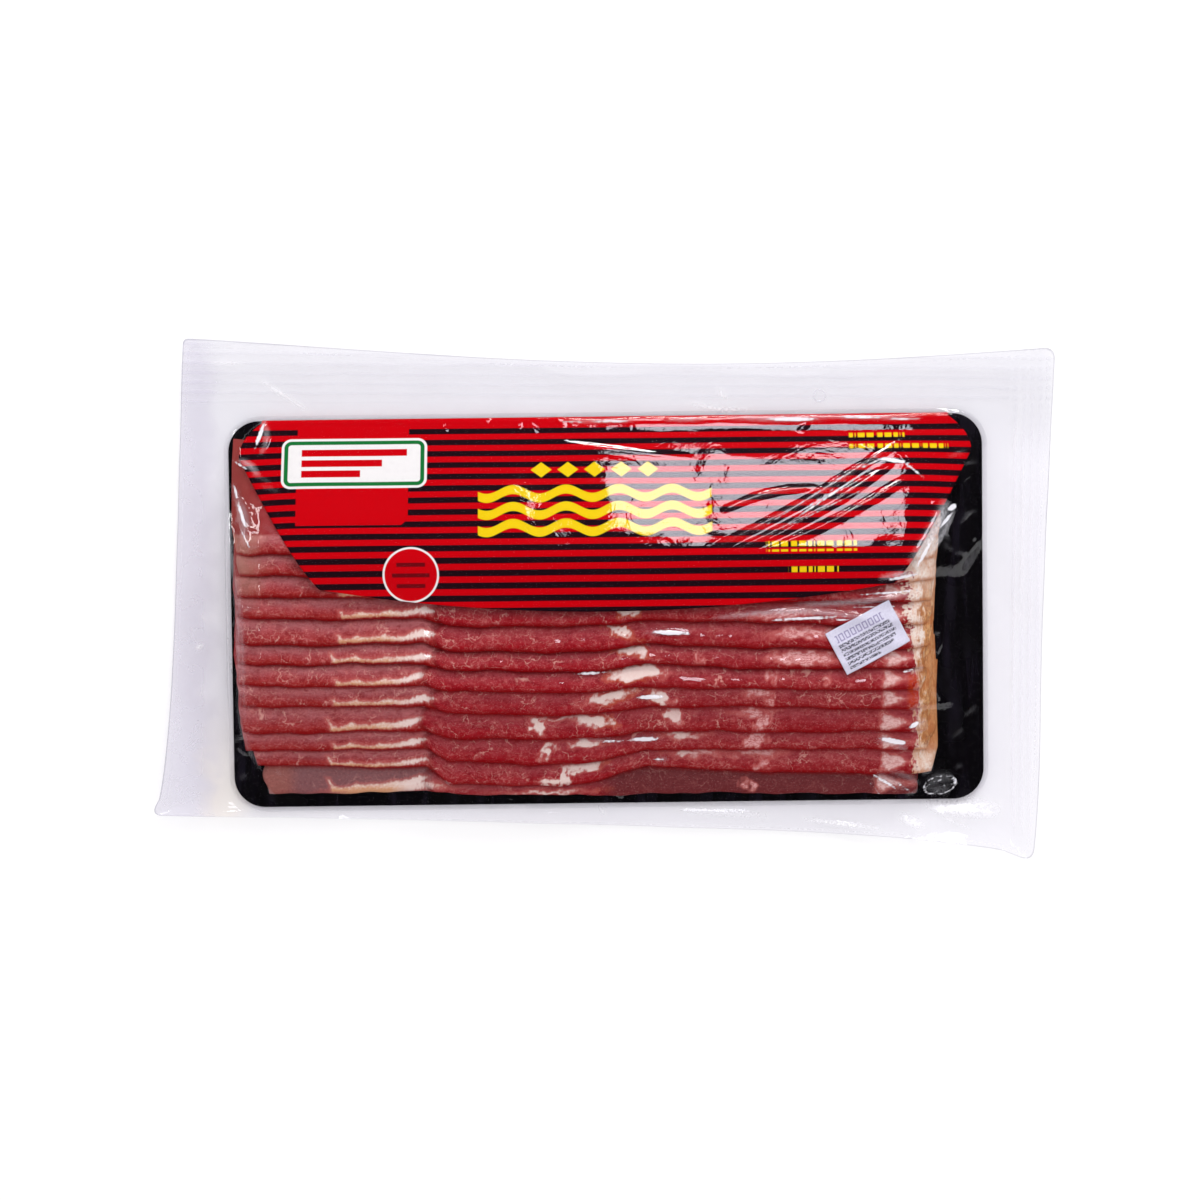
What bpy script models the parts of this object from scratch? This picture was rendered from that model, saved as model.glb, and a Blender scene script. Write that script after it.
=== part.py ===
"""A vacuum pack of sliced bacon, lying on its back with the printed side up.

The slices overlap like roof shingles on a black board. A printed card lies over their upper half, and
a clear bag is sealed flat all round. A white date sticker is stuck on the front.

Metres, +Z up. X runs along the slices, +Y points to the top of the print, and the origin is at the
middle of the bag's underside. Sizes below are in millimetres.
"""

import math
import random

import bmesh
import bpy
import numpy as np

MM = 0.001
GAP = 0.3  # left between pieces that lie on each other

# The bag: two clear webs, sealed together in the margin round the board.
WEB = 0.6
BAG_CORNERS = {  # place, corner radius, and how far the corner curls up
    "top_left": ((-135.8, 85.0), 2.0, 3.0),
    "top_right": ((146.7, 82.2), 4.0, 2.2),
    "bottom_right": ((140.0, -85.0), 4.5, 6.0),
    "bottom_left": ((-147.3, -70.0), 4.0, 4.0),
}
BAG_SIDES = (  # from corner to corner: how far the side bows in, and where along it that is deepest
    ("top_left", "top_right", 6.5, 0.55),
    ("top_right", "bottom_right", -1.2, 0.80),
    ("bottom_right", "bottom_left", 5.2, 0.22),
    ("bottom_left", "top_left", 3.6, 0.20),
)
SIDE_STEPS = 16
CORNER_STEPS = 4
MARGIN_RINGS = (0.0, 0.2, 0.55, 1.0)  # from just outside the board out to the bag's edge
RIM_CLEARANCE = 1.2
CURL_REACH = 42.0
RIPPLE = 0.5
RIPPLE_WAVES = 9

# The board, turned a little in the bag.
BOARD_SIZE = (245.0, 126.0)
BOARD_CENTRE = (1.5, -3.4)
BOARD_TURN = math.radians(0.7)
BOARD_THICKNESS = 0.6
BOARD_CORNER = 10.0
BOARD_TOP = WEB + GAP + BOARD_THICKNESS

# The slices. The first lies at the bottom of the print, and each next one laps over it.
FIRST_EDGE = -63.3
PITCHES = (8.8, 5.6, 6.3, 8.3, 6.9, 7.0, 6.5, 8.0, 7.1, 6.8, 7.1)  # from showing edge to showing edge
LAST_PITCH = 7.0
SLICES = len(PITCHES) + 1
SLICE_THICKNESS = 2.8
LAYER = SLICE_THICKNESS + GAP
LAPS = 5  # pitches that a slice reaches beyond its showing edge
TAIL = 2.2
STACK_FLOOR = BOARD_TOP + GAP
STACK_TOP = STACK_FLOOR + LAPS * LAYER + SLICE_THICKNESS

# Stations along the slices: X, the share of full height there, and the sideways bend of every slice.
STATIONS = (
    (-119.0, 0.30, 0.0),
    (-116.5, 0.62, 0.0),
    (-113.5, 0.85, 0.0),
    (-109.5, 1.00, 0.0),
    (-83.5, 1.00, 0.0),
    (-65.0, 1.00, 0.5),
    (-57.0, 1.00, 1.4),
    (-50.0, 1.00, -0.8),
    (-33.0, 1.00, -2.2),
    (-13.5, 1.00, -2.9),
    (-1.0, 1.00, -2.0),
    (7.0, 1.00, -0.6),
    (15.0, 1.00, 0.3),
    (50.0, 1.00, 0.0),
    (94.0, 1.00, -0.3),
    (100.0, 0.86, -0.3),
    (105.0, 0.60, -0.2),
    (109.5, 0.30, 0.0),
)
FIRST_STATION = (3, 3, 2, 1, 1, 0, 0, 1, 0, 0, 1, 0)  # where each slice starts, counted from the left
SPARE_STATIONS = (1, 0, 0, 1, 0, 1, 0, 0, 1, 0, 0, 0)  # how many each slice stops short on the right
DENTS = ((-54.0, 4.0), (9.0, 4.0))  # where fat meets lean: X and half width of a shallow dent
DENT_DEPTH = 0.5
EDGE_WANDER = 0.55  # a showing edge draws back by up to twice this
EDGE_SHOULDERS = ((1.3, 0.15), (4.0, 0.45))  # behind the edge, and bulge above the straight line
EDGE_HEIGHT = 0.55  # of the thickness, where the rounded edge starts

# The printed card, folded down over the board's top edge.
CARD_THICKNESS = 0.5
CARD_CLEARANCE = 0.5
CARD_FOLD_Y = 62.2
CARD_FOLD_HALF = 111.4
CARD_WIDEST_Y = 51.0
CARD_WIDEST_HALF = 118.5
CARD_CORNER_Y = 8.8
CARD_CORNER_HALF = 91.6
CARD_BOW = 8.0  # how far the free edge bows down between its corners
CARD_UPPER_ROWS = (62.2, 60.6, 56.5, 51.0, 40.0, 30.0, 22.0)
CARD_LOWER_ROWS = (0.5, 1.0)  # shares of the way from the last upper row to the free edge
CARD_COLUMNS = (-1.0, -0.93, -0.82, -0.6, -0.4, -0.2, 0.0, 0.2, 0.4, 0.6, 0.82, 0.93, 1.0)
CARD_DROOP_FROM = 95.0
CARD_DROOP = 0.3  # share of its height that the card's widest corner loses

# The date sticker.
STICKER_SIZE = (23.0, 15.0, 0.25)
STICKER_CENTRE = (84.9, -11.0)
STICKER_TURN = math.radians(28.4)


def clear_scene():
    for obj in list(bpy.data.objects):
        bpy.data.objects.remove(obj, do_unlink=True)


def make_material(name, colour, roughness, alpha=1.0):
    material = bpy.data.materials.new(name)
    material.use_nodes = True
    shader = material.node_tree.nodes["Principled BSDF"]
    shader.inputs["Base Color"].default_value = (*colour, 1.0)
    shader.inputs["Roughness"].default_value = roughness
    shader.inputs["Metallic"].default_value = 0.0
    shader.inputs["Alpha"].default_value = alpha
    return material


def add_object(name, mesh_builder, material, sharp_above=math.radians(40)):
    """Links the bmesh, built in millimetres, as one named object in metres."""
    bmesh.ops.scale(mesh_builder, vec=(MM, MM, MM), verts=mesh_builder.verts)
    bmesh.ops.recalc_face_normals(mesh_builder, faces=mesh_builder.faces)
    mesh = bpy.data.meshes.new(name)
    mesh_builder.to_mesh(mesh)
    mesh_builder.free()
    mesh.shade_smooth()
    mesh.set_sharp_from_angle(angle=sharp_above)
    mesh.materials.append(material)
    obj = bpy.data.objects.new(name, mesh)
    bpy.context.scene.collection.objects.link(obj)
    return obj


def lofted(rings):
    """Triangles between neighbouring closed rings of points.

    Every quad is split from its smaller Y to its larger Y, so that slices on each other split alike.
    """
    built = bmesh.new()
    rows = [[built.verts.new(point) for point in ring] for ring in rings]
    for lower, upper in zip(rows, rows[1:]):
        for i in range(len(lower)):
            j = (i + 1) % len(lower)
            if lower[i].co.y < lower[j].co.y:
                built.faces.new((lower[i], lower[j], upper[j]))
                built.faces.new((lower[i], upper[j], upper[i]))
            else:
                built.faces.new((lower[i], lower[j], upper[i]))
                built.faces.new((lower[j], upper[j], upper[i]))
    return built, rows


def sheet_solid(top_rows, thickness, wraps):
    """A closed sheet under these rows of points. Rows that wrap are rings round a flat middle."""
    lower_rows = [[(x, y, z - thickness) for x, y, z in row] for row in top_rows]
    if wraps:
        built, rows = lofted(top_rows + lower_rows[::-1])
        built.faces.new(rows[0])
        built.faces.new(rows[-1])
        return built
    # Each row of an open sheet becomes one ring: its top from left to right, then its underside back.
    built, rows = lofted([top + lower[::-1] for top, lower in zip(top_rows, lower_rows)])
    for row in (rows[0], rows[-1]):
        half = len(row) // 2
        for i in range(half - 1):
            built.faces.new((row[i], row[i + 1], row[-i - 2], row[-i - 1]))
    return built


def on_board(x, y):
    """A point of the board's own frame, in the frame of the bag."""
    cosine, sine = math.cos(BOARD_TURN), math.sin(BOARD_TURN)
    return (
        BOARD_CENTRE[0] + x * cosine - y * sine,
        BOARD_CENTRE[1] + x * sine + y * cosine,
    )


def off_board(x, y):
    """A point of the bag's frame, in the board's own frame."""
    cosine, sine = math.cos(BOARD_TURN), math.sin(BOARD_TURN)
    x, y = x - BOARD_CENTRE[0], y - BOARD_CENTRE[1]
    return (x * cosine + y * sine, y * cosine - x * sine)


def rounded_rectangle(width, depth, radius, steps):
    """Points round a rectangle with round corners, anticlockwise from the right end of the lower side."""
    points = []
    for quarter, (across, up) in enumerate(((1, -1), (1, 1), (-1, 1), (-1, -1))):
        centre = (across * (width / 2 - radius), up * (depth / 2 - radius))
        start = math.pi * (quarter / 2 - 0.5)
        for i in range(steps + 1):
            angle = start + math.pi / 2 * i / steps
            points.append((centre[0] + radius * math.cos(angle), centre[1] + radius * math.sin(angle)))
    return points


# The bag


def bowed_side(start, end, bow, deepest):
    """Points from start to end, bowed in to the right-hand side, deepest at that share of the way."""
    start, end = np.array(start), np.array(end)
    along = end - start
    inwards = np.array((along[1], -along[0])) / np.linalg.norm(along)
    points = []
    for i in range(SIDE_STEPS + 1):
        share = i / SIDE_STEPS
        skewed = share ** (math.log(0.5) / math.log(deepest))
        points.append(start + along * share + inwards * bow * math.sin(math.pi * skewed))
    return points


def corner_arc(before, corner, after, radius):
    """A soft corner between the sides that come from before and go on to after."""
    corner = np.array(corner)
    first = corner + radius * (before - corner) / np.linalg.norm(before - corner)
    last = corner + radius * (after - corner) / np.linalg.norm(after - corner)
    shares = [i / CORNER_STEPS for i in range(CORNER_STEPS + 1)]
    return [(1 - s) ** 2 * first + 2 * s * (1 - s) * corner + s**2 * last for s in shares]


def bag_outline():
    """The bag's edge, clockwise from the middle of the first corner."""
    sides = [
        bowed_side(BAG_CORNERS[a][0], BAG_CORNERS[b][0], bow, deepest)
        for a, b, bow, deepest in BAG_SIDES
    ]
    outline = []
    for i, side in enumerate(sides):
        corner, radius, _ = BAG_CORNERS[BAG_SIDES[i][0]]
        outline += corner_arc(sides[i - 1][-2], corner, side[1], radius)
        outline += side[1:-1]
    return outline


def margin_lift(point, share):
    """How high the margin's underside lies, at this share of the way out to the bag's edge."""
    curl = sum(
        lift * math.exp(-((math.dist(point, place) / CURL_REACH) ** 2))
        for place, _, lift in BAG_CORNERS.values()
    )
    angle = math.atan2(point[1], point[0])
    ripple = RIPPLE * (1 + math.sin(RIPPLE_WAVES * angle))
    return share**1.5 * (curl + ripple)


def rim_point(point):
    """The nearest point to this one on a line just outside the board."""
    local = np.array(off_board(*point))
    straight = np.array(BOARD_SIZE) / 2 - BOARD_CORNER
    centre = np.clip(local, -straight, straight)
    away = (local - centre) / np.linalg.norm(local - centre)
    return np.array(on_board(*(centre + away * (BOARD_CORNER + RIM_CLEARANCE))))


def make_bag(material):
    outline = bag_outline()
    rows = []
    for share in MARGIN_RINGS:
        row = []
        for edge_point in outline:
            point = (1 - share) * rim_point(edge_point) + share * edge_point
            row.append((*point, WEB + margin_lift(point, share)))
        rows.append(row)
    add_object("bag", sheet_solid(rows, WEB, wraps=True), material)


# The board


def make_board(material):
    points = rounded_rectangle(*BOARD_SIZE, BOARD_CORNER, 8)
    row = [(*on_board(x, y), BOARD_TOP) for x, y in points]
    add_object("board", sheet_solid([row], BOARD_THICKNESS, wraps=True), material)


# The slices


def slice_edges():
    """Y of every slice's showing edge, and of the edges that a longer stack would have above it."""
    edges = [FIRST_EDGE]
    for pitch in PITCHES + (LAST_PITCH,) * (LAPS + 1):
        edges.append(edges[-1] + pitch)
    return edges


EDGES = slice_edges()


def underside(k, j):
    """Height of slice k's underside at edge j, lying on the slices that reach that far."""
    slices_beneath = k - max(0, j - LAPS)
    return STACK_FLOOR + slices_beneath * LAYER


def dent(x):
    return DENT_DEPTH * sum(max(0.0, 1 - abs(x - place) / half) for place, half in DENTS)


def slice_ring(k, station, wander):
    """Slice k's cross-section at a station: over the top from its showing edge, and back beneath."""
    x, height_share, bend = station
    pitch = EDGES[k + 1] - EDGES[k]
    fall = (underside(k, k) - underside(k, k + 1)) / pitch
    tail = EDGES[k + LAPS] + TAIL
    showing = [(wander, underside(k, k) - fall * wander + EDGE_HEIGHT * SLICE_THICKNESS)]
    for behind, bulge in EDGE_SHOULDERS:
        along = wander + behind
        line = underside(k, k) - fall * along + SLICE_THICKNESS
        showing.append((along, line + bulge - dent(x)))
    top = [(EDGES[k] + along, z) for along, z in showing]
    top += [(EDGES[j], underside(k, j) + SLICE_THICKNESS) for j in range(k + 1, k + LAPS + 1)]
    top.append((tail, STACK_FLOOR + EDGE_HEIGHT * SLICE_THICKNESS))
    bottom = [(tail, STACK_FLOOR)]
    bottom += [(EDGES[j], underside(k, j)) for j in range(k + LAPS, k, -1)]
    bottom.append((EDGES[k] + wander, underside(k, k) - fall * wander))
    return [(x, y + bend, STACK_FLOOR + (z - STACK_FLOOR) * height_share) for y, z in top + bottom]


def make_slice(k, material, draw):
    phases = [draw.uniform(0, 2 * math.pi) for _ in range(2)]
    stations = STATIONS[FIRST_STATION[k] : len(STATIONS) - SPARE_STATIONS[k]]
    rings = []
    for station in stations:
        wave = math.sin(station[0] / 21 + phases[0]) + math.sin(station[0] / 9 + phases[1])
        rings.append(slice_ring(k, station, EDGE_WANDER * (1 + wave / 2)))
    built, rows = lofted(rings)
    built.faces.new(rows[0])
    built.faces.new(rows[-1])
    add_object(f"slice_{k + 1:02d}", built, material)


# The printed card


def card_half_width(y):
    """Half the card's width at this Y of the board's frame."""
    if y > CARD_WIDEST_Y:
        share = (y - CARD_WIDEST_Y) / (CARD_FOLD_Y - CARD_WIDEST_Y)
        return CARD_WIDEST_HALF - (CARD_WIDEST_HALF - CARD_FOLD_HALF) * share**2.2
    share = (y - CARD_CORNER_Y) / (CARD_WIDEST_Y - CARD_CORNER_Y)
    return CARD_CORNER_HALF + (CARD_WIDEST_HALF - CARD_CORNER_HALF) * max(0.0, share) ** 0.85


def card_height(x, y):
    """Height of the card's top above the floor, lying on the topmost slices."""
    crest = EDGES[SLICES - 1] + EDGE_SHOULDERS[0][0]
    foot = EDGES[SLICES - 1 + LAPS] + TAIL
    fold = BOARD_CENTRE[1] + CARD_FOLD_Y
    levels = (STACK_TOP, STACK_TOP, STACK_FLOOR + SLICE_THICKNESS, STACK_FLOOR)
    level = np.interp(y, (crest - 1, crest, foot, fold), levels)
    out = max(0.0, abs(x) - CARD_DROOP_FROM) / (CARD_WIDEST_HALF - CARD_DROOP_FROM)
    height_share = 1 - CARD_DROOP * min(1.0, out) ** 2
    return STACK_FLOOR + (level - STACK_FLOOR) * height_share + CARD_CLEARANCE + CARD_THICKNESS


def make_card(material):
    rows = []
    for y in CARD_UPPER_ROWS:
        rows.append([(column * card_half_width(y), y) for column in CARD_COLUMNS])
    last = CARD_UPPER_ROWS[-1]
    for share in CARD_LOWER_ROWS:
        half = card_half_width(last + share * (CARD_CORNER_Y - last))
        row = []
        for column in CARD_COLUMNS:
            free_edge = CARD_CORNER_Y - CARD_BOW * (1 - column**2)
            row.append((column * half, last + share * (free_edge - last)))
        rows.append(row)
    top_rows = []
    for row in rows:
        placed = [on_board(x, y) for x, y in row]
        top_rows.append([(x, y, float(card_height(x, y))) for x, y in placed])
    add_object("printed_card", sheet_solid(top_rows, CARD_THICKNESS, wraps=False), material)


# The date sticker


def make_sticker(material):
    width, depth, thickness = STICKER_SIZE
    top = STACK_TOP + 2 * GAP + thickness
    cosine, sine = math.cos(STICKER_TURN), math.sin(STICKER_TURN)
    row = []
    for x, y in rounded_rectangle(width, depth, 0.8, 2):
        turned = (x * cosine - y * sine, x * sine + y * cosine)
        row.append((STICKER_CENTRE[0] + turned[0], STICKER_CENTRE[1] + turned[1], top))
    add_object("date_sticker", sheet_solid([row], thickness, wraps=True), material)


def main():
    clear_scene()
    make_bag(make_material("clear_film", (0.86, 0.87, 0.91), 0.15, alpha=0.35))
    make_board(make_material("black_board", (0.012, 0.011, 0.014), 0.3))
    lean = make_material("bacon", (0.5, 0.1, 0.09), 0.4)
    draw = random.Random(12)
    for k in range(SLICES):
        make_slice(k, lean, draw)
    make_card(make_material("printed_card", (0.62, 0.01, 0.015), 0.35))
    make_sticker(make_material("white_paper", (0.78, 0.78, 0.84), 0.6))


main()
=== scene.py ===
"""A vacuum pack of sliced bacon: its film, meat, board and print, dressed over the part's plain solids.

Shapes are worked out in millimetres in the part's own frame: X along the slices, +Y to the top of the
print, Z up, with the origin under the middle of the bag.
"""

import functools
import math

import bpy
import numpy as np
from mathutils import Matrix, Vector
from mathutils.bvhtree import BVHTree


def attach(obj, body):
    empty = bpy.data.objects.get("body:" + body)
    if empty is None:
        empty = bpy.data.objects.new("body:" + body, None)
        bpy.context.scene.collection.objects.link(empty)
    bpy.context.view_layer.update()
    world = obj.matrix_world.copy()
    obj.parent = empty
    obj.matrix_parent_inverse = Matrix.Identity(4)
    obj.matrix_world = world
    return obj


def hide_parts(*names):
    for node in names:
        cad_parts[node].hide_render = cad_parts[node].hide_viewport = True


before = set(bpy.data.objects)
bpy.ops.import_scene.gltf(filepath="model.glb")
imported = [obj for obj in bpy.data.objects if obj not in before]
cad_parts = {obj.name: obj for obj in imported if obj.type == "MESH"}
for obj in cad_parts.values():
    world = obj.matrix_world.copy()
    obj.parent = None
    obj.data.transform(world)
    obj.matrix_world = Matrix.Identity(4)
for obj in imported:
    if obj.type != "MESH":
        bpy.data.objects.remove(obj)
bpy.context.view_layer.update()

MM = 0.001
GAP = 0.3

# The bag's outline, corner by corner, as the sealed webs lie round the board.
WEB = 0.6
BAG_CORNERS = {  # place, corner radius, and how far the corner curls up
    "top_left": ((-135.8, 85.0), 2.0, 3.0),
    "top_right": ((146.7, 82.2), 4.0, 2.2),
    "bottom_right": ((140.0, -85.0), 4.5, 6.0),
    "bottom_left": ((-147.3, -70.0), 4.0, 4.0),
}
BAG_SIDES = (  # from corner to corner: how far the side bows in, and where along it that is deepest
    ("top_left", "top_right", 6.5, 0.55),
    ("top_right", "bottom_right", -1.2, 0.80),
    ("bottom_right", "bottom_left", 5.2, 0.22),
    ("bottom_left", "top_left", 3.6, 0.20),
)
SIDE_STEPS = 230
CORNER_STEPS = 8
CORNER_SKIP = 8  # steps of each side that a rounded corner takes the place of
MARGIN_STEPS = 40
CURL_REACH = 42.0

# The board.
BOARD_SIZE = (245.0, 126.0)
BOARD_CENTRE = (1.5, -3.4)
BOARD_TURN = math.radians(0.7)
BOARD_THICKNESS = 0.6
BOARD_CORNER = 10.0
BOARD_TOP = WEB + GAP + BOARD_THICKNESS
RIM_CLEARANCE = 1.6

# The slices, from the bottom of the print upwards. Each next one laps over the one before.
FIRST_EDGE = -63.3
PITCHES = (8.8, 5.6, 6.3, 8.3, 6.9, 7.0, 6.5, 8.0, 7.1, 6.8, 7.1)
LAST_PITCH = 7.0
SLICES = len(PITCHES) + 1
LAPS = 5
TAIL = 2.2
THICKNESS = 2.8
LAYER = THICKNESS + GAP
STACK_FLOOR = BOARD_TOP + GAP
STACK_TOP = STACK_FLOOR + LAPS * LAYER + THICKNESS
EDGES = np.cumsum((FIRST_EDGE,) + PITCHES + (LAST_PITCH,) * (LAPS + 2))
END_HEIGHTS = (  # X, and the share of its full height that the stack has there
    (-119.5, 0.3), (-116.5, 0.62), (-113.5, 0.85), (-109.5, 1), (94, 1), (100, 0.86), (105, 0.6),
    (109.8, 0.3),
)
BENDS = (  # X, and how far every slice bends sideways there
    (-83.5, 0), (-65, 0.4), (-57.5, 0.4), (-53.5, -0.6), (-49, -1.4), (-33, -1.8), (-13.5, -2),
    (-1, -1.6), (7, -0.6), (15, 0.3), (50, 0), (94, -0.3), (109.5, 0),
)
SAG = (-1.0, 4.2, 2.3, 0.5, 0.5, 0.0, 0.1, 0.5, 0.2, 0.6, 0.6, 0.6)  # how far each hangs in the middle
SAG_FROM_TO = (-57.0, -50.0, -8.0, 14.0)
RIGHT_SAG = (0.1, 1.6, -0.5, -0.4, 0.0, 0.7, 1.0, 0.8, 1.2, 1.2, 1.2, 1.2)  # and on the right
RIGHT_SAG_FROM_TO = (10.0, 50.0)
LEFT_ENDS = (-110.5, -113.5, -116.8, -118.0, -118.3, -118.8, -119.0, -118.6, -119.0, -119.2, -118.6, -119.2)
RIGHT_ENDS = (103.5, 108.5, 108.0, 107.0, 106.5, 105.2, 105.5, 106.5, 107.0, 107.3, 108.0, 109.0)
SEAMS = (-58.0, -56.4, -58.0, -58.7, -55.2, -57.8, -54.3, -54.3, -54.0, -53.8, -54.2, -53.8)  # to muscle
LIP = 2.7  # how far back the rounded showing edge reaches
FAT_PATCHES = {  # by slice: X, share of the showing band, half length, half width, turn
    0: ((-18, 0.3, 9, 0.7, 0.03), (48.5, 0.4, 1.6, 2.2, 0.8)),
    1: (
        (-12, 0.45, 1.9, 3.8, 0.15), (-6, 0.86, 6.2, 1.6, 0.05), (-17.5, 0.16, 3, 1.4, 0.1),
        (30, 0.86, 6.5, 1.2, 0), (50, 0.88, 6.5, 1.1, 0), (51, 0.32, 2.8, 0.9, 0.8),
    ),
    2: (
        (-17.6, 0.55, 2, 2.8, -0.5), (-5.5, 0.8, 4.2, 1.4, 0), (26.5, 0.84, 5.2, 1.1, 0),
        (49.2, 0.55, 3.4, 2.6, 0.3),
    ),
    3: (
        (-20.8, 0.62, 1.4, 3, 0.25), (-14, 0.9, 6, 0.6, 0), (-2.8, 0.72, 6, 1.9, -0.25),
        (23.5, 0.7, 3.2, 2.4, -0.6), (48.5, 0.78, 4.8, 1, 0.1), (51.5, 0.45, 1.5, 2.8, -0.5),
    ),
    4: (
        (2.2, 0.72, 7.4, 1.8, 0.12), (18.5, 0.45, 3.4, 2.2, -0.4), (50, 0.8, 3.6, 1.3, 0.1),
        (54.3, 0.4, 0.8, 2.4, -0.4),
    ),
    5: ((11, 0.68, 8.8, 2.5, 0), (54.8, 0.45, 0.8, 2.8, 0.2), (72, 0.5, 1, 1.4, 0)),
    6: ((9, 0.85, 5.6, 1.6, -0.35), (31, 0.5, 0.6, 2, 0.1), (64, 0.55, 9.5, 2, 0)),
    7: ((4.5, 0.8, 5.6, 1.3, -0.6), (65, 0.62, 9.5, 1.4, 0.05)),
    8: ((8, 0.6, 4, 1.8, -0.4), (58, 0.45, 8, 1.3, 0.1)),
}

# The printed card.
CARD_THICKNESS = 0.5
CARD_CLEARANCE = 0.5
CARD_FOLD_Y = 62.2
CARD_FOLD_HALF = 111.4
CARD_WIDEST_Y = 51.0
CARD_WIDEST_HALF = 118.5
CARD_CORNER_Y = 8.8
CARD_CORNER_HALF = 91.6
CARD_BOW = 8.0
CARD_DROOP_FROM = 95.0
CARD_DROOP = 0.3
CARD_CREST = 16.1
CARD_FOOT = 52.0
CARD_BULGE = 0.5

# Wrinkles in the film: X and Y of both ends, height, half width, bow to its left, and how white it is,
# partly stress-whitened and partly painted highlight.
FILM_CREASES = (
    # Long diagonal pulls over the right half of the card.
    (36, 18, 97, 52.5, 1, 0.8, -1.5, 0.06), (41, 16.5, 90, 43, 0.9, 0.7, -1.2, 0.04),
    (50, 18.5, 94, 45, 0.8, 0.7, -1, 0), (47, 15, 104, 44, 0.8, 0.9, -2, 0),
    (38, 29.5, 70, 37, 0.5, 0.9, 2, 0.05), (-20, 52, 30, 46, 0.35, 0.9, 0, 0),
    # Where the film leaves the card's lower right edge.
    (34, -5, 88, -5, 1, 0.8, 2.2, 0.3), (50, -2.5, 86, -5.5, 0.9, 0.8, 1.5, 0.2),
    (61, -0.5, 102, 3.5, 1, 0.8, -1, 0.25), (88, 8, 102, 9.5, 1, 0.8, 0.5, 0.35),
    (98.5, 12, 111, 33, 1, 1.6, -1, 0.6), (103, 14, 113.5, 31, 0.6, 0.8, -1, 0.35),
    # Short ones over the slices, bright with painted highlights.
    (12, -9.4, 29, -9.2, 0.8, 0.8, 0, 0.1), (14, -30.4, 22, -30, 0.9, 0.9, 0, 0.1),
    (9, -44.3, 19.5, -44, 0.8, 0.8, 0, 0.1), (-8, -44.8, 4, -44.6, 0.7, 0.7, 0, 0.1),
    (17, -51.5, 21.5, -51.3, 0.8, 0.8, 0, 0.1), (88.5, -44.3, 99, -47.5, 1, 1, 0.4, 0.2),
    (98.5, -22.5, 103, -20.7, 0.9, 0.9, 0, 0.15), (100.5, -41, 104.5, -37.8, 0.9, 0.9, 0, 0.2),
    (88.5, -56, 99, -61.5, 0.6, 0.8, 0.5, 0.15), (92, -54.5, 104, -60, 0.5, 0.8, 0.5, 0.12),
    # A loop of spare film at the lower right corner of the board.
    (105.5, -60, 115, -58, 0.6, 1.6, 0.8, 0.1), (105.5, -61, 114, -62, 0.6, 1.6, -0.4, 0.08),
    # Down the left end of the card.
    (-119.8, 38, -114.5, 17.5, 0.8, 1, 1, 0.2), (-117, 33, -113, 23, 0.6, 0.9, 0, 0.2),
    (-121, 30, -118.5, 6, 0.5, 0.8, 0, 0.25), (-119, 15, -117.2, -35, 0.4, 0.7, 1, 0.16),
    (-117.2, 10, -115.6, -40, 0.3, 0.6, 0.8, 0.12), (-118, -30, -110.5, -56, 0.3, 0.6, -2, 0.1),
    (-112, 60, -110.5, 47, 0.7, 0.8, 2.5, 0.25), (-118, 46, -110.5, 40, 0.6, 0.8, 1, 0.35),
    # Along the fold at the top of the card.
    (-13, 58.3, 12, 58.6, 0.3, 0.7, 0, 0.2), (20, 58.8, 34, 59, 0.3, 0.6, 0, 0.3),
    (40, 59.6, 74, 59.6, 0.3, 0.9, -0.4, 0.3), (60, 60, 104, 59.2, 0.3, 0.6, 0, 0.25),
)
FILM_GLINTS = (  # painted highlights as bright spots: X, Y, half length, half width, turn in degrees
    (71.5, 36.9, 30, 0.22, 32), (72.3, 33.9, 17, 0.34, 33), (70, 33.6, 11, 0.2, 34),
    (73.5, 31.4, 19, 0.2, 25.5), (87, 44.8, 4.6, 0.35, 22), (93.5, 45.6, 5, 0.65, -8),
    (100.2, 42.6, 4.4, 0.4, -38), (22, -9.4, 6.6, 0.75, -2), (15.5, -30.2, 4.4, 0.75, 2),
    (-4, -22.5, 5, 0.5, 3), (13.4, -44.4, 5.2, 0.75, 3), (3, -45, 4, 0.4, 1), (18.2, -51.2, 1.9, 0.4, 0),
    (94, -45, 4.9, 0.95, -11), (100.6, -39.8, 1.9, 0.8, 28), (98, -21.8, 1.6, 0.45, 12),
    (92, -59, 4.6, 0.55, -32), (97.5, -60.3, 4.2, 0.32, -36), (89, -61.5, 3.2, 0.25, -50),
    (93, -5.2, 4.6, 0.3, 8), (66, -4.8, 13, 0.5, 3), (78, -5.4, 6, 0.3, -4), (92, 3.4, 9, 0.4, 4),
    (88, -1.2, 10, 0.25, 2), (96, 8.4, 5.4, 0.6, 10), (103, 16, 5.4, 0.7, 60),
    (110.5, 26.5, 3.6, 0.6, 48), (112.5, 30.5, 2, 0.9, 30), (61.5, 58.9, 9, 0.7, 0),
    (84, 59.6, 9, 0.45, 0), (97, 59, 6, 0.4, -1), (2.5, 58.2, 7, 0.45, 1), (-10, 58, 4.5, 0.4, 0),
    (-110.8, 54, 4.6, 0.7, 72), (-116, 28, 5.4, 0.65, -68), (-118.4, 35, 3, 0.5, -74),
    (-114.6, 20.5, 3, 0.4, -60), (-117, 44, 3.6, 0.35, -30),
)
FILM_LOOPS = (  # rows like those of the glints, and the half width of the loop's line
    (110.3, -60.4, 5.4, 2.9, 14, 0.18), (108.8, -60.9, 3.6, 1.7, 26, 0.1),
    (112.2, -59.4, 2.6, 1.1, -6, 0.08),
)
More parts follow.
